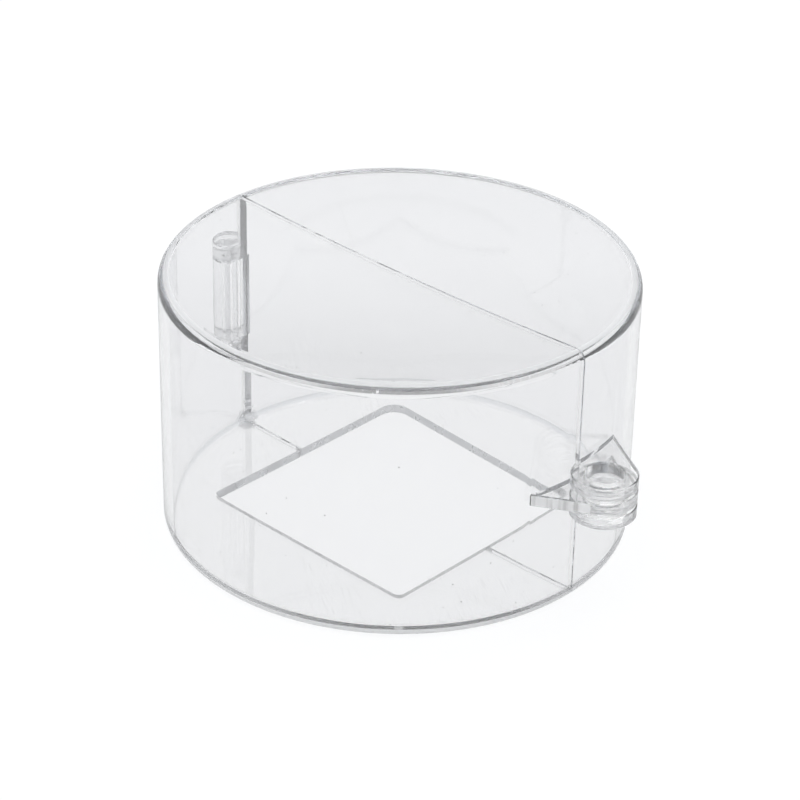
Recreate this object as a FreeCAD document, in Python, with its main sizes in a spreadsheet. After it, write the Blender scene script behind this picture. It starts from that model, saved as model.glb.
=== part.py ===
"""A clear round lock-out cover: two hinged half shells that close round a control and take a padlock.

Millimetres, +Z up. The origin is on the shell's axis, in the plane it stands on. The halves meet in the
plane y = 0: the hasp is at +X, the hinge at -X, the front half at -Y and the rear half at +Y.
"""
import FreeCAD, Part
import math
import os

import Sketcher

SIZES = {
    # shell
    "bodyRadius": 50.0,       # outside of the round wall
    "bodyHeight": 57.75,
    "wall": 2.0,              # wall, top and floor alike
    "topEdge": 2.2,           # outside radius round the top
    "bottomEdge": 2.0,        # outside radius round the floor
    "innerEdge": 0.3,         # bevel in the inside corners
    "topSink": 1.1,           # how far the middle of the top lies below its rim
    "sinkRadius": 47.0,       # where the sunk part of the top begins
    "seamGap": 0.3,           # between the closed halves
    "hingeEndBevel": 1.6,     # inside the end of the rear half's wall at the hinge
    # opening in the floor, for the neck of the control
    "openingFront": 26.6,
    "openingRear": 26.8,
    "openingSkew": 3.7,       # how much further back its rear edge runs at the hinge end
    "openingHasp": 26.3,
    "openingHinge": 29.5,
    "openingCorner": 1.5,
    "openingFarCorner": 4.0,  # the rear corner at the hinge end
    # hasp lugs
    "lugAxis": 56.8,
    "lugRadius": 6.85,
    "lugHole": 4.0,           # radius
    "lugThickness": 2.7,
    "lugGap": 0.6,
    "lugTop": 33.1,
    "lugRootAngle": 16.0,     # degrees from the seam to where the edge of a lug's web ends inside the wall
    "lugClearance": 0.35,     # from a lug to the other half's wall
    "lugEdge": 0.2,
    # hinge
    "hingeAxis": 53.0,
    "barrelRadius": 4.1,
    "barrelClearance": 0.4,   # from a knuckle to the other half's wall
    "knuckleTop": 44.4,
    "knuckleShort": 3.4,
    "knuckleLong": 19.4,
    "knuckleGap": 0.6,
    "knuckleEdge": 0.25,
    "pinRadius": 1.15,
    "pinPlay": 0.05,          # round the pin in the long knuckle
    "pinGrip": 0.02,          # how much smaller the holes in the short knuckles are
    "pinRecess": 0.3,         # from the pin's ends to the ends of the barrel
    "pinChamfer": 0.3,
}
NEAR = 0.05                   # how close an edge must be to the place it is looked for
TINY = 1e-6                   # smaller than any size or volume that matters
ONWARD = 5.0                  # how far a cut runs on past the material
FRONT = -1
REAR = 1
THROUGH_ALL = 1               # a pocket's Type
HORIZONTAL_AXIS = -1          # a sketch's own axes, as constraints number them
VERTICAL_AXIS = -2
START, END, CENTRE = 1, 2, 3  # the points of a sketch element

doc = FreeCAD.newDocument("LockoutCover")
sheet = doc.addObject("Spreadsheet::Sheet", "Sizes")
for row, (alias, number) in enumerate(SIZES.items(), start=1):
    sheet.set(f"A{row}", alias)
    sheet.set(f"B{row}", str(number))
    sheet.setAlias(f"B{row}", alias)
doc.recompute()


class Size:
    """A number together with the sheet expression that gives it."""

    def __init__(self, number, text=None):
        self.number = float(number)
        self.text = text or repr(float(number))

    def join(self, sign, other, number):
        return Size(number, f"({self.text} {sign} {other.text})")

    def __add__(self, other):
        other = asSize(other)
        return self.join("+", other, self.number + other.number)

    def __sub__(self, other):
        other = asSize(other)
        return self.join("-", other, self.number - other.number)

    def __mul__(self, other):
        other = asSize(other)
        return self.join("*", other, self.number * other.number)

    def __truediv__(self, other):
        other = asSize(other)
        return self.join("/", other, self.number / other.number)

    def __neg__(self):
        return self * -1

    def squared(self):
        return Size(self.number ** 2, f"({self.text} ^ 2)")

    def root(self):
        return Size(math.sqrt(self.number), f"sqrt({self.text})")

    def cosine(self):
        return Size(math.cos(math.radians(self.number)), f"cos({self.text} * 1 deg)")

    def sine(self):
        return Size(math.sin(math.radians(self.number)), f"sin({self.text} * 1 deg)")


def asSize(number):
    return number if isinstance(number, Size) else Size(number)


def cell(alias):
    return Size(SIZES[alias], f"Sizes.{alias}")


def point(x, y):
    return FreeCAD.Vector(asSize(x).number, asSize(y).number, 0)


# ---- sketches and features ----

def newBody(label):
    body = doc.addObject("PartDesign::Body", label)
    body.Label = label
    return body


def ownAxis(body, role):
    """One of the body's own axes or planes."""
    return [item for item in body.Origin.OriginFeatures if item.Role == role][0]


def newSketch(body, name, plane, height=None):
    """A sketch on one of the body's own planes, or parallel to it at a height."""
    sketch = body.newObject("Sketcher::SketchObject", name)
    sketch.AttachmentSupport = [(ownAxis(body, plane), "")]
    sketch.MapMode = "FlatFace"
    if height is not None:
        sketch.setExpression(".AttachmentOffset.Base.z", height.text)
    return sketch


def bind(sketch, kind, *target, size):
    """A dimension on the sketch, driven by the sheet."""
    index = sketch.addConstraint(Sketcher.Constraint(kind, *target, size.number))
    sketch.setExpression(f"Constraints[{index}]", size.text)


def pin(sketch, element, end, x, y):
    """Holds a point of the sketch at x, y; None leaves that way free."""
    for kind, axis, size in (("DistanceX", VERTICAL_AXIS, x), ("DistanceY", HORIZONTAL_AXIS, y)):
        if size is None:
            continue
        size = asSize(size)
        if abs(size.number) < TINY:
            sketch.addConstraint(Sketcher.Constraint("PointOnObject", element, end, axis))
        else:
            bind(sketch, kind, HORIZONTAL_AXIS, START, element, end, size=size)


def join(sketch, first, firstEnd, second, secondEnd):
    sketch.addConstraint(Sketcher.Constraint("Coincident", first, firstEnd, second, secondEnd))


def addLine(sketch, start, end):
    return sketch.addGeometry(Part.LineSegment(point(*start), point(*end)), False)


def addArc(sketch, centre, radius, fromAngle, toAngle):
    circle = Part.Circle(point(*centre), FreeCAD.Vector(0, 0, 1), asSize(radius).number)
    return sketch.addGeometry(Part.ArcOfCircle(circle, fromAngle, toAngle), False)


def addPath(sketch, corners, closed=True):
    """Straight lines from corner to corner, each corner held at its place. Returns the lines."""
    ends = corners[1:] + corners[:1] if closed else corners[1:]
    lines = [addLine(sketch, start, end) for start, end in zip(corners, ends)]
    for index, line in enumerate(lines):
        pin(sketch, line, START, *corners[index])
        if index + 1 < len(lines):
            join(sketch, line, END, lines[index + 1], START)
    if closed:
        join(sketch, lines[-1], END, lines[0], START)
    else:
        pin(sketch, lines[-1], END, *corners[-1])
    return lines


def addCircle(sketch, x, radius, y=0):
    circle = sketch.addGeometry(
        Part.Circle(point(x, y), FreeCAD.Vector(0, 0, 1), radius.number), False)
    pin(sketch, circle, CENTRE, x, y)
    bind(sketch, "Radius", circle, size=radius)


def pad(body, sketch, name, length):
    feature = body.newObject("PartDesign::Pad", name)
    feature.Profile = sketch
    feature.setExpression("Length", length.text)
    doc.recompute()
    return feature


def checkCut(body, before, name):
    """Makes sure that a cut took something off the volume that was there before."""
    if body.Shape.Volume > before - TINY:
        raise RuntimeError(f"{name} cut nothing")


def pocketUp(body, sketch, name, depth=None):
    """Cuts upwards from the sketch, by a depth or right through."""
    before = body.Shape.Volume
    feature = body.newObject("PartDesign::Pocket", name)
    feature.Profile = sketch
    feature.Reversed = True
    if depth is None:
        feature.Type = THROUGH_ALL
    else:
        feature.setExpression("Length", depth.text)
    doc.recompute()
    checkCut(body, before, name)


def repeatUp(body, feature, name, pitch):
    """The same feature once more, one pitch higher."""
    pattern = body.newObject("PartDesign::LinearPattern", name)
    pattern.Originals = [feature]
    pattern.Direction = (ownAxis(body, "Z_Axis"), [""])
    pattern.Occurrences = 2
    pattern.setExpression("Length", pitch.text)
    body.Tip = pattern
    doc.recompute()


def easeEdges(body, name, kind, size, wanted):
    """Rounds (Fillet) or bevels (Chamfer) the edges whose middle the test accepts."""
    base = body.Tip
    names = [f"Edge{index}" for index, edge in enumerate(base.Shape.Edges, start=1)
             if wanted(edge, edge.valueAt((edge.FirstParameter + edge.LastParameter) / 2))]
    if not names:
        raise RuntimeError(f"{name} found no edges")
    feature = body.newObject(f"PartDesign::{kind}", name)
    feature.Base = (base, names)
    feature.setExpression("Radius" if kind == "Fillet" else "Size", size.text)
    doc.recompute()


# ---- places worked out from the sizes ----

radius = cell("bodyRadius")
height = cell("bodyHeight")
wall = cell("wall")
innerRadius = radius - wall
halfGap = cell("seamGap") / 2
sinkBall = (cell("sinkRadius").squared() + cell("topSink").squared()) / (cell("topSink") * 2)
sinkCentre = height - cell("topSink") + sinkBall
lugPitch = cell("lugThickness") + cell("lugGap")
lugLevels = {
    "top": cell("lugTop") - cell("lugThickness"),
    "middle": cell("lugTop") - cell("lugThickness") - lugPitch,
    "bottom": cell("lugTop") - cell("lugThickness") - lugPitch * 2,
}
longTop = cell("knuckleTop") - cell("knuckleShort") - cell("knuckleGap")
longBottom = longTop - cell("knuckleLong")
barrelBottom = longBottom - cell("knuckleGap") - cell("knuckleShort")
barrelPitch = cell("knuckleTop") - cell("knuckleShort") - barrelBottom


def distance(place):
    """How far a place is from the shell's axis."""
    return math.hypot(place.x, place.y)


# ---- the shell ----

def revolveRound(body, side):
    """Half a solid round, 180 degrees of one profile: floor, upright wall, top and two rounded corners."""
    floorEdge = cell("bottomEdge")
    topEdge = cell("topEdge")
    sketch = newSketch(body, f"{body.Label}_profile", "XZ_Plane", halfGap * -side)
    floor = addLine(sketch, (0, 0), (radius - floorEdge, 0))
    lowCorner = addArc(sketch, (radius - floorEdge, floorEdge), floorEdge, -math.pi / 2, 0)
    outside = addLine(sketch, (radius, floorEdge), (radius, height - topEdge))
    highCorner = addArc(sketch, (radius - topEdge, height - topEdge), topEdge, 0, math.pi / 2)
    top = addLine(sketch, (radius - topEdge, height), (0, height))
    middle = addLine(sketch, (0, height), (0, 0))
    pin(sketch, floor, START, 0, 0)
    pin(sketch, floor, END, None, 0)
    pin(sketch, outside, START, radius, None)
    pin(sketch, outside, END, radius, None)
    pin(sketch, top, START, None, height)
    pin(sketch, top, END, 0, height)
    join(sketch, middle, START, top, END)
    join(sketch, middle, END, floor, START)
    for before, corner, after, size in ((floor, lowCorner, outside, floorEdge),
                                        (outside, highCorner, top, topEdge)):
        sketch.addConstraint(Sketcher.Constraint("Tangent", before, END, corner, START))
        sketch.addConstraint(Sketcher.Constraint("Tangent", corner, END, after, START))
        bind(sketch, "Radius", corner, size=size)
    doc.recompute()

    solid = body.newObject("PartDesign::Revolution", f"{body.Label}_round")
    solid.Profile = sketch
    solid.ReferenceAxis = (sketch, ["V_Axis"])
    solid.Angle = 180
    solid.Reversed = side == FRONT
    doc.recompute()


def sinkTop(body, size, side):
    """Hollows the top with a large ball, whose poles lie level so that its face stays a plain patch."""
    before = body.Shape.Volume
    ball = body.newObject("PartDesign::SubtractiveSphere", f"{body.Label}_sink")
    ball.AttachmentSupport = [(ownAxis(body, "XZ_Plane"), "")]
    ball.MapMode = "FlatFace"
    ball.setExpression(".AttachmentOffset.Base.y", sinkCentre.text)
    ball.setExpression(".AttachmentOffset.Base.z", (halfGap * -side).text)
    ball.setExpression("Radius", size.text)
    doc.recompute()
    checkCut(body, before, ball.Name)


def makeHollow(side):
    """The room inside the shell, a body of its own that is cut out of a half."""
    body = newBody("front_hollow" if side == FRONT else "rear_hollow")
    sketch = newSketch(body, f"{body.Label}_outline", "XY_Plane", wall)
    addCircle(sketch, 0, innerRadius, halfGap * side)
    doc.recompute()
    pad(body, sketch, f"{body.Label}_round", height - wall * 2)
    easeEdges(body, f"{body.Label}_corners", "Chamfer", cell("innerEdge"),
              lambda edge, middle: edge.isClosed())
    sinkTop(body, sinkBall + wall, side)
    return body


def makeShell(body, side):
    """Half a round box: floor, wall and a slightly sunk top, all of one thickness."""
    revolveRound(body, side)
    sinkTop(body, sinkBall, side)
    hollowed = body.newObject("PartDesign::Boolean", f"{body.Label}_hollowed")
    hollowed.setObjects([makeHollow(side)])
    hollowed.Type = "Cut"
    doc.recompute()


def bevelHingeEnd(body):
    """Cuts the inside of the wall's end back beside the hinge, without reaching the sunk part of the top."""
    reach = cell("hingeEndBevel")
    outside = -innerRadius - reach
    inside = (cell("sinkRadius") + innerRadius) / -2
    sketch = newSketch(body, f"{body.Label}_hinge_end_outline", "XY_Plane", wall)
    addPath(sketch, [(outside, halfGap - ONWARD), (outside, halfGap),
                     (inside, halfGap + inside - outside), (inside, halfGap - ONWARD)])
    doc.recompute()
    pocketUp(body, sketch, f"{body.Label}_hinge_end", height - wall * 2)


def cutOpening(body, side):
    """This half's share of the opening that fits round the control's neck."""
    hasp = cell("openingHasp")
    hinge = -cell("openingHinge")
    if side == REAR:
        nearHasp = cell("openingRear")
        nearHinge = nearHasp + cell("openingSkew")
    else:
        nearHasp = -cell("openingFront")
        nearHinge = nearHasp
    past = -side * ONWARD
    sketch = newSketch(body, f"{body.Label}_opening_outline", "XY_Plane")
    addPath(sketch, [(hasp, past), (hasp, nearHasp), (hinge, nearHinge), (hinge, past)])
    doc.recompute()
    pocketUp(body, sketch, f"{body.Label}_opening", wall)

    corners = [("hasp", hasp, nearHasp, cell("openingCorner")),
               ("hinge", hinge, nearHinge, cell("openingFarCorner" if side == REAR else "openingCorner"))]
    for name, x, y, rounding in corners:
        place = point(x, y)
        easeEdges(body, f"{body.Label}_opening_{name}_corner", "Fillet", rounding,
                  lambda edge, middle: math.hypot(middle.x - place.x, middle.y - place.y) < NEAR)


# ---- the hasp ----

def addLug(body, side, level):
    """One padlock lug at a level: a ring, and a web that runs out on the wall of its own half."""
    sketch = newSketch(body, f"{body.Label}_{level}_lug_outline", "XY_Plane", lugLevels[level])
    axis = cell("lugAxis")
    ring = cell("lugRadius")
    rootAngle = cell("lugRootAngle")
    root = radius - wall / 2
    tip = (root * rootAngle.cosine(), root * rootAngle.sine() * side)

    toTip = math.atan2(tip[1].number, (tip[0] - axis).number)
    reach = math.hypot(tip[1].number, (tip[0] - axis).number)
    touch = toTip - side * math.acos(ring.number / reach)    # where the web's edge meets the ring
    touchPoint = (axis.number + ring.number * math.cos(touch), ring.number * math.sin(touch))

    if side == REAR:
        outline = addArc(sketch, (axis, 0), ring, math.pi, touch + 2 * math.pi)
        inward, outward = START, END
    else:
        outline = addArc(sketch, (axis, 0), ring, touch, math.pi)
        inward, outward = END, START
    pin(sketch, outline, CENTRE, axis, 0)
    bind(sketch, "Radius", outline, size=ring)
    pin(sketch, outline, inward, None, 0)

    inside = addPath(sketch, [(root, 0), tip], closed=False)[0]
    edge = addLine(sketch, tip, touchPoint)
    join(sketch, edge, START, inside, END)
    sketch.addConstraint(Sketcher.Constraint("Tangent", edge, END, outline, outward))
    bridge = addLine(sketch, (axis - ring, 0), (root, 0))
    join(sketch, bridge, START, outline, inward)
    join(sketch, bridge, END, inside, START)
    addCircle(sketch, axis, cell("lugHole"))
    doc.recompute()
    return pad(body, sketch, f"{body.Label}_{level}_lug", cell("lugThickness"))


def bevelLugs(body):
    """Bevels the lugs' outer edges and the mouths of the padlock hole."""
    levels = [z.number for level in lugLevels.values() for z in (level, level + cell("lugThickness"))]
    clear = (radius + cell("lugClearance")).number + NEAR

    def wanted(edge, middle):
        level = any(abs(middle.z - z) < NEAR for z in levels)
        flat = abs(edge.valueAt(edge.FirstParameter).z - middle.z) < NEAR
        return level and flat and distance(middle) > clear and middle.x > 0

    easeEdges(body, f"{body.Label}_lug_edges", "Chamfer", cell("lugEdge"), wanted)


# ---- the parting plane and the hinge ----

def partHalves(body, side):
    """Clears the other half's side of the seam, with a little room between its wall and the lugs."""
    clear = radius + cell("lugClearance")
    level = halfGap * side
    along = (clear.squared() - halfGap.squared()).root()
    lean = math.asin(level.number / clear.number)
    sketch = newSketch(body, f"{body.Label}_parting_outline", "XY_Plane", Size(-ONWARD))
    if side == REAR:
        arc = addArc(sketch, (0, 0), clear, math.pi - lean, 2 * math.pi + lean)
    else:
        arc = addArc(sketch, (0, 0), clear, lean, math.pi - lean)
    chord = addLine(sketch, (-along, level), (along, level))
    leftEnd, rightEnd = (START, END) if side == REAR else (END, START)
    pin(sketch, arc, CENTRE, 0, 0)
    bind(sketch, "Radius", arc, size=clear)
    pin(sketch, chord, START, None, level)
    pin(sketch, chord, END, None, level)
    join(sketch, chord, START, arc, leftEnd)
    join(sketch, chord, END, arc, rightEnd)
    doc.recompute()
    pocketUp(body, sketch, f"{body.Label}_parting")


def addKnuckle(body, name, bottom, length):
    """A length of the hinge barrel, run into the wall of its own half."""
    sketch = newSketch(body, f"{body.Label}_{name}_outline", "XY_Plane", bottom)
    addCircle(sketch, -cell("hingeAxis"), cell("barrelRadius"))
    doc.recompute()
    return pad(body, sketch, f"{body.Label}_{name}", length)


def relieveWall(body, name, bottom, length):
    """A hollow in the wall round a knuckle of the other half, so that it can turn."""
    room = cell("knuckleGap") / 2
    sketch = newSketch(body, f"{body.Label}_{name}_outline", "XY_Plane", bottom - room)
    addCircle(sketch, -cell("hingeAxis"), cell("barrelRadius") + cell("barrelClearance"))
    doc.recompute()
    pocketUp(body, sketch, f"{body.Label}_{name}", length + room * 2)


def boreBarrel(body, hole):
    """The hole for the hinge pin."""
    sketch = newSketch(body, f"{body.Label}_pin_hole_outline", "XY_Plane")
    addCircle(sketch, -cell("hingeAxis"), hole)
    doc.recompute()
    pocketUp(body, sketch, f"{body.Label}_pin_hole")


def bevelBarrel(body, levels):
    """Bevels the ends of the knuckles."""
    axis = cell("hingeAxis").number
    barrel = cell("barrelRadius").number

    def wanted(edge, middle):
        level = any(abs(middle.z - z.number) < NEAR for z in levels)
        flat = abs(edge.valueAt(edge.FirstParameter).z - middle.z) < NEAR
        return level and flat and abs(math.hypot(middle.x + axis, middle.y) - barrel) < NEAR

    easeEdges(body, f"{body.Label}_barrel_edges", "Chamfer", cell("knuckleEdge"), wanted)


# ---- the pieces ----

def makeFrontHalf():
    body = newBody("front_cover_half")
    makeShell(body, FRONT)
    cutOpening(body, FRONT)
    addLug(body, FRONT, "middle")
    partHalves(body, FRONT)
    bevelLugs(body)
    relieveWall(body, "upper_relief", longTop + cell("knuckleGap"), cell("knuckleShort"))
    relieveWall(body, "lower_relief", barrelBottom, cell("knuckleShort"))
    addKnuckle(body, "long_knuckle", longBottom, cell("knuckleLong"))
    bevelBarrel(body, [longBottom, longTop])
    boreBarrel(body, cell("pinRadius") + cell("pinPlay"))
    return body


def makeRearHalf():
    body = newBody("rear_cover_half")
    makeShell(body, REAR)
    bevelHingeEnd(body)
    cutOpening(body, REAR)
    lug = addLug(body, REAR, "bottom")
    repeatUp(body, lug, "rear_cover_half_lugs", lugPitch * 2)
    partHalves(body, REAR)
    bevelLugs(body)
    relieveWall(body, "long_relief", longBottom, cell("knuckleLong"))
    knuckle = addKnuckle(body, "short_knuckle", barrelBottom, cell("knuckleShort"))
    repeatUp(body, knuckle, "rear_cover_half_knuckles", barrelPitch)
    bevelBarrel(body, [barrelBottom, barrelBottom + cell("knuckleShort"),
                       longTop + cell("knuckleGap"), cell("knuckleTop")])
    boreBarrel(body, cell("pinRadius") - cell("pinGrip"))
    return body


def makeHingePin():
    """A plain rod, chamfered at both ends, gripped by the short knuckles."""
    body = newBody("hinge_pin")
    length = cell("knuckleTop") - barrelBottom - cell("pinRecess") * 2
    sketch = newSketch(body, "hinge_pin_outline", "XY_Plane")
    addCircle(sketch, Size(0), cell("pinRadius"))
    doc.recompute()
    pad(body, sketch, "hinge_pin_rod", length)
    easeEdges(body, "hinge_pin_ends", "Chamfer", cell("pinChamfer"), lambda edge, middle: edge.isClosed())
    body.setExpression(".Placement.Base.x", (-cell("hingeAxis")).text)
    body.setExpression(".Placement.Base.z", (barrelBottom + cell("pinRecess")).text)
    return body


pieces = [makeFrontHalf(), makeRearHalf(), makeHingePin()]
doc.recompute()

for item in doc.Objects:
    if "Invalid" in item.State or "Error" in item.State:
        raise RuntimeError(f"{item.Name} failed: {item.State}")
os.makedirs("parts", exist_ok=True)
for piece in pieces:
    shape = piece.Shape
    if shape.isNull() or not shape.isValid() or len(shape.Solids) != 1:
        raise RuntimeError(f"{piece.Label} isn't one valid solid")
    shape.exportStep(f"parts/{piece.Label}.step")
    print(f"{piece.Label}: {shape.Volume:.0f} mm3, {len(shape.Faces)} faces")
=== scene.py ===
# Clear round lock-out cover in two hinged halves, on a pale studio floor. Metres, +Z up.
import math

import bpy
import numpy as np
from mathutils import Matrix

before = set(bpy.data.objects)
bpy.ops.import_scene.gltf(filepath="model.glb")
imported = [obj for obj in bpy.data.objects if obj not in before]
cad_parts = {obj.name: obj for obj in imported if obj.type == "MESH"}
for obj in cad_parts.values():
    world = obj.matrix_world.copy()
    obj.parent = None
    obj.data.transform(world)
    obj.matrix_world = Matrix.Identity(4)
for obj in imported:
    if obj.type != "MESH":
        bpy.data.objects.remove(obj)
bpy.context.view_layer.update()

scene = bpy.context.scene


# camera: a long lens, from above the hasp side
camera = {
    "azimuth": 43.0406,       # degrees, turned from looking along +Y
    "elevation": 30.1034,     # degrees above the floor
    "roll": 1.18888,          # degrees
    "distance": 0.587383,
    "aim": 0.0288775,         # height of the point aimed at
    "slide": (0.00041689, -0.00223306),
    "lens": 124.880,          # mm, as the sensor's width
    "sensor": 36,
    "clipStart": 0.01,
}


def makeCamera(settings):
    azimuth, elevation, roll = (math.radians(settings[k]) for k in ("azimuth", "elevation", "roll"))
    right = np.array([math.cos(azimuth), math.sin(azimuth), 0])
    back = np.array([math.sin(azimuth) * math.cos(elevation), -math.cos(azimuth) * math.cos(elevation),
                     math.sin(elevation)])
    up = np.cross(back, right)
    across = right * math.cos(roll) + up * math.sin(roll)
    upward = up * math.cos(roll) - right * math.sin(roll)
    place = (np.array([0, 0, settings["aim"]]) + back * settings["distance"]
             + across * settings["slide"][0] + upward * settings["slide"][1])
    data = bpy.data.cameras.new("camera")
    data.lens = settings["lens"]
    data.sensor_width = settings["sensor"]
    data.clip_start = settings["clipStart"]
    eye = bpy.data.objects.new("camera", data)
    eye.matrix_world = Matrix([[*row, p] for row, p in zip(np.column_stack([across, upward, back]), place)]
                              + [[0, 0, 0, 1]])
    scene.collection.objects.link(eye)
    scene.camera = eye


makeCamera(camera)
scene.view_settings.view_transform = "Standard"
print("camera placed")


# materials: metres in the object's own coordinates
clearPlastic = {
    "tint": (0.997, 0.998, 1.0),
    "cloudTint": (0.984, 0.987, 0.992),
    "cloudScale": 32.0,
    "cloudEdge": (0.40, 0.75),
    "frostTint": (0.97, 0.975, 0.985),
    "frostPerDulled": 2.0,
    "unevenRoughness": (0.4, 0.7),   # how much the patches add to it, and what is left without them
    "ior": 1.585,
    "milk": (0.95, 0.96, 0.975),     # what little the plastic scatters
    "milkShare": 0.014,
    "sawnTint": 0.66,
    "raggedTint": 0.88,
    # painted shade on the side of the top's round edge: a grey band, darkest towards the front
    "rimPaintedShadeAside": 0.64,
    "rimPaintedShadeInFront": 0.22,
    # painted shade: the walls and top are tinted darker than the floor, and the top darker again towards the
    # front
    "panePaintedShade": (0.908, 0.908, 0.914),
    "topPaintedShade": (0.885, 0.885, 0.891),
    "floorTint": (1.0, 1.0, 1.0),
    # painted shade on the lugs' flat faces
    "lugFlatPaintedShade": 0.94,
    "seamTint": 0.80,
    "depthColour": (0.50, 0.53, 0.58),
    "depthDensity": 6.0,             # per metre
    "wave": {"scale": 45.0, "depth": 0.00002},
    "frostGrain": {"scale": 700.0, "depth": 0.000012},
    "toolMarks": {"web": (900.0, 900.0, 40.0), "webEdge": (0.46, 0.66), "ring": (40.0, 40.0, 2200.0),
                  "depth": 0.0002},
    "scratches": {"scale": (160.0, 2600.0, 900.0), "slant": 0.6, "thin": (0.66, 0.70), "patches": 70.0,
                  "sparse": (0.52, 0.60), "tint": 0.93},
    "specks": {"scale": 260.0, "radius": 0.05, "kept": 0.60, "tint": 0.45},
}
# faces that aren't polished: how rough, how milky and how much of their clearness is lost
finishes = {
    "opening": (0.34, 0.05, 0.50),   # sawn edges of the opening
    "hingeEnd": (0.14, 0.02, 0.12),  # the walls' ends beside the hinge
    "corner": (0.20, 0.03, 0.05),    # where the wall is joined to the floor
    "glue": (0.30, 0.20, 0.20),      # what was spread in the corner under the hinge
    "web": (0.16, 0.10, 0.85),       # the lugs' webs, round their edge
    "ring": (0.06, 0.03, 0.0),
    "lugFlat": (0.03, 0.0, 0.0),
    "barrel": (0.12, 0.01, 0.0),
    "foot": (0.14, 0.20, 1.00),      # the round edge that it stands on, at the front and at the back
    "footBehind": (0.14, 0.95, 0.0),
    "rimTop": (0.05, 0.30, 0.75),    # the round edge of the top: its upper part and its side
    "rimSide": (0.05, 0.03, 0.0),
}
# where those faces lie: metres from the cover's axis and foot, as ranges of height, way or reach
spots = {
    "flatAbove": 0.7,                            # of the normal's upright part
    "asideBelow": 0.93,                          # of the normal's part towards the hasp
    "clearOfWall": 0.0502,
    "wallOut": (0.0475, 0.0502),
    "floorTo": 0.0025,
    "topFrom": 0.05,
    "seamHalf": 0.0005,
    "front": (0.682, -0.731),                    # the way that the cover's front faces, on plan
    "ahead": (-0.01, 0.01),
    "nearFront": (0.0462, 0.0492),
    # where the painted shade on the top starts and where it is full, along the way to the front
    "topDarkens": (0.012, 0.045),
    "openingUp": (-0.0001, 0.0021),
    "openingAlong": (-0.031, 0.028),
    "openingAcross": (-0.0275, 0.0315),
    "hingeEndAlong": (-0.0505, -0.0477),
    "hingeEndAcross": (-0.0045, 0.0045),
    "raggedScale": 600.0,
    "raggedDepth": 0.0012,
    "raggedEdge": (-0.0481, -0.0477),
    "cornerUp": (0.00202, 0.0026),
    "cornerOut": (0.0470, 0.0485),
    "glueAt": (-0.048, 0.0, 0.0012),
    "glueShape": (1.0, 1.0, 0.6),
    "glueReach": 0.0016,
    "glueUneven": 0.0018,
    "patchScale": 260.0,
    "patchEdge": (0.30, 0.70),
    "lugsFrom": 0.02,
    "haspAxis": (0.0568, 0.0, 0.0),
    "ringReach": 0.0070,
    "barrelTo": -0.0503,
    "footHeight": 0.0020,
    "footFrom": 0.0480,
    "rimTopUp": (0.05735, 0.05755),
    "rimTopFrom": 0.0478,
    "rimSideUp": (0.0564, 0.05695),
    "rimSideFrom": 0.0485,
}
onPlan = (1.0, 1.0, 0.0)                         # leaves the height out of a distance


def put(tree, value, socket):
    if isinstance(value, bpy.types.NodeSocket):
        tree.links.new(value, socket)
    else:
        socket.default_value = value


def calc(tree, operation, *values):
    node = tree.nodes.new("ShaderNodeMath")
    node.operation = operation
    for value, socket in zip(values, node.inputs):
        put(tree, value, socket)
    return node.outputs[0]


# 0 below low, 1 above high, smooth between
def step(tree, value, low, high):
    node = tree.nodes.new("ShaderNodeMapRange")
    node.interpolation_type = "SMOOTHSTEP"
    for name, number in (("Value", value), ("From Min", low), ("From Max", high)):
        put(tree, number, node.inputs[name])
    return node.outputs[0]


# 1 while the value lies between low and high
def within(tree, value, low, high):
    above = calc(tree, "GREATER_THAN", value, low)
    return calc(tree, "MULTIPLY", above, calc(tree, "LESS_THAN", value, high))


def opposite(tree, share):
    return calc(tree, "SUBTRACT", 1.0, share)


def every(tree, *shares):
    product = shares[0]
    for share in shares[1:]:
        product = calc(tree, "MULTIPLY", product, share)
    return product


def largest(tree, *values):
    top = values[0]
    for value in values[1:]:
        top = calc(tree, "MAXIMUM", top, value)
    return top


def grey(tint):
    return (tint, tint, tint)


def blend(tree, share, first, second):
    node = tree.nodes.new("ShaderNodeMix")
    node.data_type = "RGBA"
    put(tree, share, node.inputs["Factor"])
    for name, value in (("A", first), ("B", second)):
        socket = [one for one in node.inputs if one.name == name and one.type == "RGBA"][0]
        put(tree, value if isinstance(value, bpy.types.NodeSocket) else (*value, 1), socket)
    return [one for one in node.outputs if one.type == "RGBA"][0]


def stretch(tree, place, scale):
    node = tree.nodes.new("ShaderNodeVectorMath")
    node.operation = "MULTIPLY"
    put(tree, place, node.inputs[0])
    node.inputs[1].default_value = scale
    return node.outputs[0]


# how far a place is from a centre, once both are multiplied by a share for each way
def distance(tree, place, shares, centre):
    node = tree.nodes.new("ShaderNodeVectorMath")
    node.operation = "DISTANCE"
    put(tree, stretch(tree, place, shares), node.inputs[0])
    node.inputs[1].default_value = [share * number for share, number in zip(shares, centre)]
    return node.outputs["Value"]


def noise(tree, place, scale, detail=2.0):
    node = tree.nodes.new("ShaderNodeTexNoise")
    put(tree, place, node.inputs["Vector"])
    node.inputs["Scale"].default_value = scale
    node.inputs["Detail"].default_value = detail
    return node.outputs[0]


def bump(tree, height, depth, strength=1.0, before=None):
    node = tree.nodes.new("ShaderNodeBump")
    node.inputs["Distance"].default_value = depth
    put(tree, strength, node.inputs["Strength"])
    put(tree, height, node.inputs["Height"])
    if before is not None:
        tree.links.new(before, node.inputs["Normal"])
    return node.outputs[0]


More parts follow.
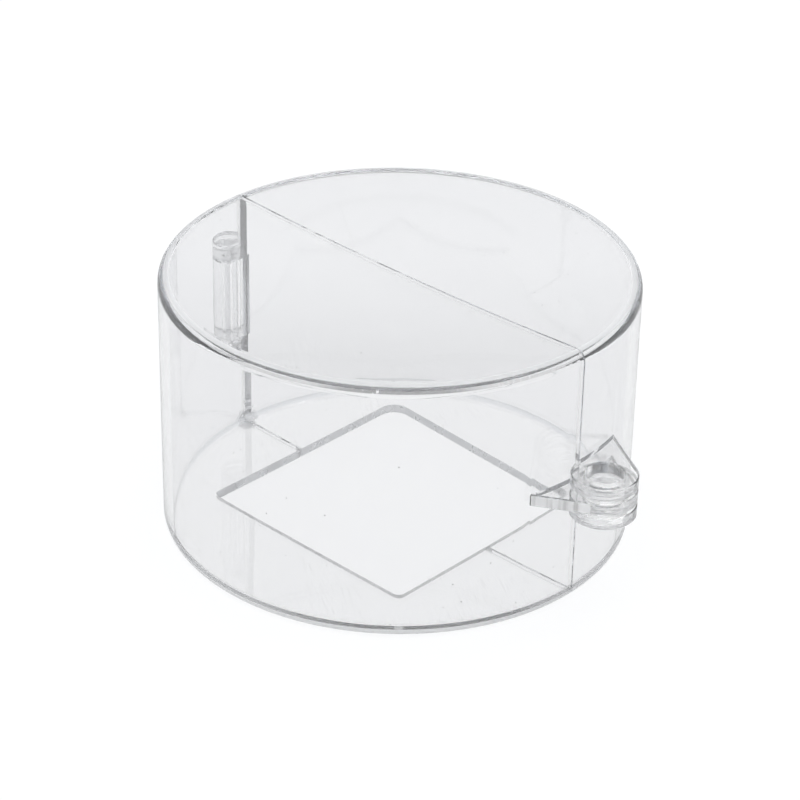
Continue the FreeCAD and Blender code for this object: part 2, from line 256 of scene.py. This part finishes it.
# the kinds of face, each as a share of 0 to 1, and some other shares that the finishes use
def findFaces(tree, place, normal, spots):
    parts = []
    for source in (place, normal):
        split = tree.nodes.new("ShaderNodeSeparateXYZ")
        tree.links.new(source, split.inputs[0])
        parts.append(split.outputs)
    (x, y, z), (along, _, upright) = parts
    flat = calc(tree, "GREATER_THAN", calc(tree, "ABSOLUTE", upright), spots["flatAbove"])
    side = opposite(tree, flat)
    turnedAside = calc(tree, "LESS_THAN", calc(tree, "ABSOLUTE", along), spots["asideBelow"])
    reach = distance(tree, place, onPlan, (0.0, 0.0, 0.0))
    lug = every(tree, calc(tree, "GREATER_THAN", reach, spots["clearOfWall"]),
                calc(tree, "GREATER_THAN", x, spots["lugsFrom"]))
    ring = calc(tree, "LESS_THAN", distance(tree, place, onPlan, spots["haspAxis"]), spots["ringReach"])
    patchy = step(tree, noise(tree, place, spots["patchScale"], 3.0), *spots["patchEdge"])
    spread = calc(tree, "MULTIPLY_ADD", patchy, spots["glueUneven"], spots["glueReach"])
    towardsFront = [calc(tree, "MULTIPLY", one, share) for one, share in zip((x, y), spots["front"])]
    forward = calc(tree, "ADD", *towardsFront)
    ahead = step(tree, forward, *spots["ahead"])
    foot = every(tree, calc(tree, "LESS_THAN", z, spots["footHeight"]),
                 calc(tree, "GREATER_THAN", reach, spots["footFrom"]))
    high = calc(tree, "GREATER_THAN", z, spots["topFrom"])
    faces = {
        "opening": every(tree, side, within(tree, z, *spots["openingUp"]),
                         within(tree, x, *spots["openingAlong"]), within(tree, y, *spots["openingAcross"])),
        "hingeEnd": every(tree, side, turnedAside, within(tree, x, *spots["hingeEndAlong"]),
                          within(tree, y, *spots["hingeEndAcross"])),
        "corner": every(tree, within(tree, z, *spots["cornerUp"]), within(tree, reach, *spots["cornerOut"])),
        "glue": calc(tree, "LESS_THAN", distance(tree, place, spots["glueShape"], spots["glueAt"]), spread),
        "web": every(tree, lug, side, opposite(tree, ring)),
        "ring": every(tree, lug, side, ring),
        "lugFlat": every(tree, lug, flat),
        "barrel": calc(tree, "LESS_THAN", x, spots["barrelTo"]),
        "foot": every(tree, foot, ahead),
        "footBehind": every(tree, foot, opposite(tree, ahead)),
        "rimTop": every(tree, step(tree, z, *spots["rimTopUp"]),
                        calc(tree, "GREATER_THAN", reach, spots["rimTopFrom"])),
        "rimSide": every(tree, within(tree, z, *spots["rimSideUp"]),
                         calc(tree, "GREATER_THAN", reach, spots["rimSideFrom"])),
    }
    ragged = calc(tree, "MULTIPLY_ADD", noise(tree, place, spots["raggedScale"]), spots["raggedDepth"], x)
    shares = {
        "patchy": patchy,
        "ragged": calc(tree, "MULTIPLY", faces["hingeEnd"], step(tree, ragged, *spots["raggedEdge"])),
        "nearFront": step(tree, forward, *spots["nearFront"]),
        "panes": largest(tree, every(tree, side, within(tree, reach, *spots["wallOut"])), high),
        "floor": every(tree, calc(tree, "LESS_THAN", z, spots["floorTo"]), flat),
        "topPaintedShadeInFront": every(tree, high, flat, step(tree, forward, *spots["topDarkens"])),
        "seam": every(tree, calc(tree, "LESS_THAN", calc(tree, "ABSOLUTE", y), spots["seamHalf"]),
                      calc(tree, "LESS_THAN", reach, spots["clearOfWall"])),
    }
    return faces, shares


def scratch(tree, place, marks):
    slanting = tree.nodes.new("ShaderNodeMapping")
    tree.links.new(place, slanting.inputs["Vector"])
    slanting.inputs["Rotation"].default_value = (0.0, 0.0, marks["slant"])
    lines = noise(tree, stretch(tree, slanting.outputs[0], marks["scale"]), 1.0, 0.0)
    sparse = step(tree, noise(tree, place, marks["patches"]), *marks["sparse"])
    return every(tree, step(tree, lines, *marks["thin"]), sparse)


def speckle(tree, place, dots):
    cells = tree.nodes.new("ShaderNodeTexVoronoi")
    tree.links.new(place, cells.inputs["Vector"])
    cells.inputs["Scale"].default_value = dots["scale"]
    cellShade = tree.nodes.new("ShaderNodeSeparateColor")
    tree.links.new(cells.outputs["Color"], cellShade.inputs[0])
    return every(tree, calc(tree, "LESS_THAN", cells.outputs["Distance"], dots["radius"]),
                 calc(tree, "GREATER_THAN", cellShade.outputs[0], dots["kept"]))


# each layer is a share and the tint that it blends in; the pane, top-in-front, lug-flat and rim-side layers
# are painted shade, the others the plastic's own tone and marks
def tintAndShadePlastic(tree, place, settings, faces, shares, frost, sawn):
    colour = settings["tint"]
    clouds = step(tree, noise(tree, place, settings["cloudScale"], 3.0), *settings["cloudEdge"])
    # painted shade along the top edge's side, darker towards the front than aside
    rim = blend(tree, shares["nearFront"], grey(settings["rimPaintedShadeAside"]), grey(settings["rimPaintedShadeInFront"]))
    layers = [
        (clouds, settings["cloudTint"]),
        # painted shade on the walls and top, and more on the top towards the front
        (shares["panes"], settings["panePaintedShade"]),
        (shares["floor"], settings["floorTint"]),
        (shares["topPaintedShadeInFront"], settings["topPaintedShade"]),
        (shares["seam"], grey(settings["seamTint"])),
        # painted shade: the lugs' flat faces are greyed
        (faces["lugFlat"], grey(settings["lugFlatPaintedShade"])),
        (frost, settings["frostTint"]),
        (every(tree, faces["web"], sawn), grey(settings["sawnTint"])),
        (shares["ragged"], grey(settings["raggedTint"])),
        (faces["rimSide"], rim),
        (scratch(tree, place, settings["scratches"]), grey(settings["scratches"]["tint"])),
        (speckle(tree, place, settings["specks"]), grey(settings["specks"]["tint"])),
    ]
    for share, tint in layers:
        colour = blend(tree, share, colour, tint)
    return colour


def ripplePlastic(tree, place, settings, faces, frost, sawn):
    wave, grain, tools = (settings[name] for name in ("wave", "frostGrain", "toolMarks"))
    turned = noise(tree, stretch(tree, place, tools["ring"]), 1.0)
    waves = bump(tree, noise(tree, place, wave["scale"], 1.0), wave["depth"])
    grainy = bump(tree, noise(tree, place, grain["scale"]), grain["depth"], frost, waves)
    milled = bump(tree, sawn, tools["depth"], faces["web"], grainy)
    return bump(tree, turned, tools["depth"], faces["ring"], milled)


def makeClearPlastic(settings, finishes, spots):
    material = bpy.data.materials.new("clearPlastic")
    material.use_nodes = True
    tree = material.node_tree
    shader = tree.nodes["Principled BSDF"]
    coordinates = tree.nodes.new("ShaderNodeTexCoord")
    place = coordinates.outputs["Object"]
    faces, shares = findFaces(tree, place, coordinates.outputs["Normal"], spots)
    roughness, milkiness, dulled = (
        largest(tree, *(calc(tree, "MULTIPLY", share, finishes[name][part]) for name, share in faces.items()))
        for part in range(3))
    uneven = calc(tree, "MULTIPLY_ADD", shares["patchy"], *settings["unevenRoughness"])
    frost = calc(tree, "MINIMUM", calc(tree, "MULTIPLY", dulled, settings["frostPerDulled"]), 1.0)
    tools = settings["toolMarks"]
    sawn = step(tree, noise(tree, stretch(tree, place, tools["web"]), 1.0), *tools["webEdge"])

    tree.links.new(calc(tree, "MULTIPLY", roughness, uneven), shader.inputs["Roughness"])
    colour = tintAndShadePlastic(tree, place, settings, faces, shares, frost, sawn)
    tree.links.new(colour, shader.inputs["Base Color"])
    tree.links.new(ripplePlastic(tree, place, settings, faces, frost, sawn), shader.inputs["Normal"])
    tree.links.new(opposite(tree, dulled), shader.inputs["Transmission Weight"])
    shader.inputs["IOR"].default_value = settings["ior"]

    milk = tree.nodes.new("ShaderNodeBsdfTranslucent")
    milk.inputs["Color"].default_value = (*settings["milk"], 1)
    mix = tree.nodes.new("ShaderNodeMixShader")
    haze = calc(tree, "MULTIPLY", opposite(tree, shares["floor"]), settings["milkShare"])
    tree.links.new(calc(tree, "ADD", milkiness, haze), mix.inputs[0])
    tree.links.new(shader.outputs[0], mix.inputs[1])
    tree.links.new(milk.outputs[0], mix.inputs[2])
    depth = tree.nodes.new("ShaderNodeVolumeAbsorption")
    depth.inputs["Color"].default_value = (*settings["depthColour"], 1)
    depth.inputs["Density"].default_value = settings["depthDensity"]
    output = tree.nodes["Material Output"]
    tree.links.new(mix.outputs[0], output.inputs["Surface"])
    tree.links.new(depth.outputs[0], output.inputs["Volume"])
    return material


shellMaterial = makeClearPlastic(clearPlastic, finishes, spots)
for node in ("front_cover_half", "rear_cover_half", "hinge_pin"):
    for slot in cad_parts[node].material_slots:
        slot.material = shellMaterial
print("clear plastic assigned")


# studio
studio = {
    "floorSize": 3.0,
    "floorHeight": -0.0002,          # just under the cover's foot
    "floorColour": (0.9, 0.9, 0.9),
    "floorRoughness": 0.9,
    # the surroundings: the sine of the height above the floor, and how light they are there
    "surroundings": ((0.38, 0.38), (0.47, 1.08), (0.56, 0.98), (0.74, 1.00), (0.92, 2.10)),
    "air": (0.985, 0.992, 1.0),
    "whiteSeen": 1.035,              # the floor's own white, seen directly, through the plastic and mirrored
    "whiteThrough": 1.07,
    "whiteMirrored": 0.75,
    "bounces": 128,                  # light runs far inside the plastic
    "diffuseBounces": 16,
    "glowShare": 0.88,               # the rest is the lit floor, which keeps the shadow
}


def makeFloor(settings):
    half = settings["floorSize"] / 2
    corners = [(-half, -half, 0), (half, -half, 0), (half, half, 0), (-half, half, 0)]
    mesh = bpy.data.meshes.new("floor")
    mesh.from_pydata(corners, [], [(0, 1, 2, 3)])
    floor = bpy.data.objects.new("floor", mesh)
    floor.location.z = settings["floorHeight"]
    scene.collection.objects.link(floor)
    material = bpy.data.materials.new("floor")
    material.use_nodes = True
    tree = material.node_tree
    shader = tree.nodes["Principled BSDF"]
    shader.inputs["Base Color"].default_value = (*settings["floorColour"], 1)
    shader.inputs["Roughness"].default_value = settings["floorRoughness"]
    shader.inputs["Specular IOR Level"].default_value = 0
    mesh.materials.append(material)
    path = tree.nodes.new("ShaderNodeLightPath")
    seen = path.outputs["Is Camera Ray"]
    through = path.outputs["Is Transmission Ray"]
    mirrored = path.outputs["Is Glossy Ray"]
    glow = tree.nodes.new("ShaderNodeEmission")
    strengths = [calc(tree, "MULTIPLY", kind, settings[name]) for kind, name in
                 ((seen, "whiteSeen"), (through, "whiteThrough"), (mirrored, "whiteMirrored"))]
    tree.links.new(largest(tree, *strengths), glow.inputs["Strength"])
    glow.inputs["Color"].default_value = (*settings["air"], 1)
    mix = tree.nodes.new("ShaderNodeMixShader")
    tree.links.new(calc(tree, "MULTIPLY", largest(tree, seen, through, mirrored), settings["glowShare"]),
                   mix.inputs[0])
    tree.links.new(shader.outputs[0], mix.inputs[1])
    tree.links.new(glow.outputs[0], mix.inputs[2])
    tree.links.new(mix.outputs[0], tree.nodes["Material Output"].inputs[0])


def makeWorld(settings):
    world = bpy.data.worlds.new("studio")
    world.use_nodes = True
    scene.world = world
    nodes, links = world.node_tree.nodes, world.node_tree.links
    place = nodes.new("ShaderNodeTexCoord")
    split = nodes.new("ShaderNodeSeparateXYZ")
    links.new(place.outputs["Generated"], split.inputs[0])
    ramp = nodes.new("ShaderNodeValToRGB")
    links.new(split.outputs["Z"], ramp.inputs[0])
    stops = ramp.color_ramp.elements
    stops.remove(stops[1])
    for index, (height, light) in enumerate(settings["surroundings"]):
        stop = stops.new(height) if index else stops[0]
        stop.position = height
        stop.color = (*(light * share for share in settings["air"]), 1)
    around = nodes["Background"]
    links.new(ramp.outputs[0], around.inputs[0])
    white = nodes.new("ShaderNodeBackground")
    white.inputs["Color"].default_value = (1, 1, 1, 1)
    path = nodes.new("ShaderNodeLightPath")
    mix = nodes.new("ShaderNodeMixShader")
    links.new(path.outputs["Is Camera Ray"], mix.inputs[0])
    links.new(around.outputs[0], mix.inputs[1])
    links.new(white.outputs[0], mix.inputs[2])
    links.new(mix.outputs[0], nodes["World Output"].inputs[0])


makeFloor(studio)
makeWorld(studio)
scene.cycles.max_bounces = studio["bounces"]
scene.cycles.transmission_bounces = studio["bounces"]
scene.cycles.glossy_bounces = studio["bounces"]
scene.cycles.diffuse_bounces = studio["diffuseBounces"]
print("studio ready")
